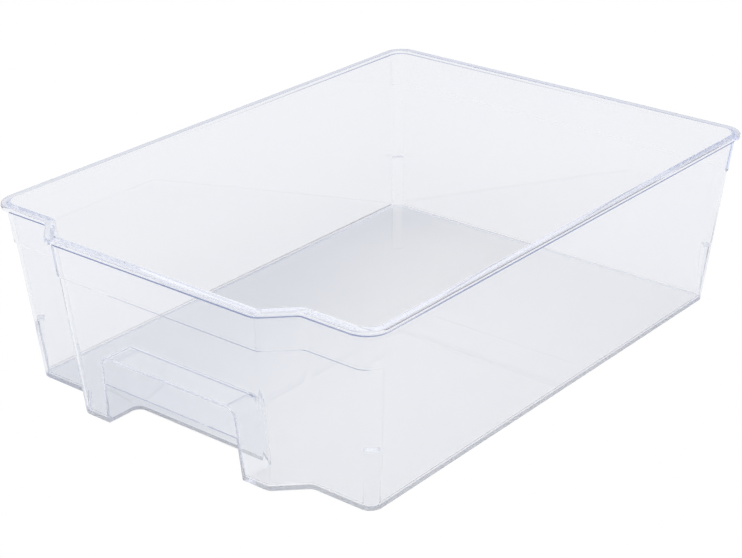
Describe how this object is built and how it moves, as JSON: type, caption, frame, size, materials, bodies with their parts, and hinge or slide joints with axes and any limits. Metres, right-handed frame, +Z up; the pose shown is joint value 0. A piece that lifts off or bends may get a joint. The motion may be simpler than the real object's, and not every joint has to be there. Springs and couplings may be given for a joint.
{
  "type": "refrigerator organizer bin",
  "caption": "Clear moulded open-top bin with drafted walls, a rim flange, corner nesting ribs and a finger-pocket handle under a hanging lip in a projecting front panel.",
  "frame": {"origin": "on the underside, at the middle of the overall box", "axes": "+Z up, +Y from the handle towards the back wall, +X to the right seen from the handle"},
  "size_m": [0.259, 0.368, 0.105],
  "materials": {
    "clear_plastic": "clear, polished, faint blue tint in thick sections"
  },
  "bodies": {
    "root": {"bin": "clear_plastic"}
  },
  "joints": []
}
